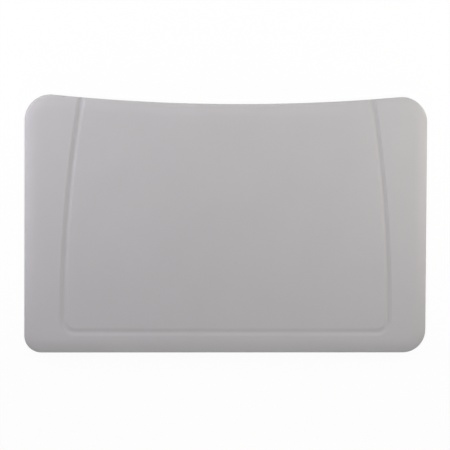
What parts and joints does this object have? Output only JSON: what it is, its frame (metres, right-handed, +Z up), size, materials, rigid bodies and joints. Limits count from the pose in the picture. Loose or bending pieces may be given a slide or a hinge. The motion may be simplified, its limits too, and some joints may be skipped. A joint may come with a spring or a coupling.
{
  "type": "cutting board",
  "caption": "Moulded polyethylene kitchen cutting board with soft edges, a hollow rear edge and a juice groove that drains over it, on push-in rubber feet.",
  "frame": {"origin": "on the surface that the feet stand on, under the centre of the board's bounding box", "axes": "+X to the right along the board's width, +Y to the hollow rear edge, +Z up through the slab"},
  "size_m": [0.47, 0.3, 0.018],
  "materials": {
    "board_plastic": "satin moulded polyethylene, fine even grain",
    "foot_rubber": "matte grey thermoplastic rubber"
  },
  "bodies": {
    "root": {"board": "board_plastic", "foot_front_left": "foot_rubber", "foot_front_right": "foot_rubber", "foot_rear_left": "foot_rubber", "foot_rear_right": "foot_rubber"}
  },
  "joints": []
}
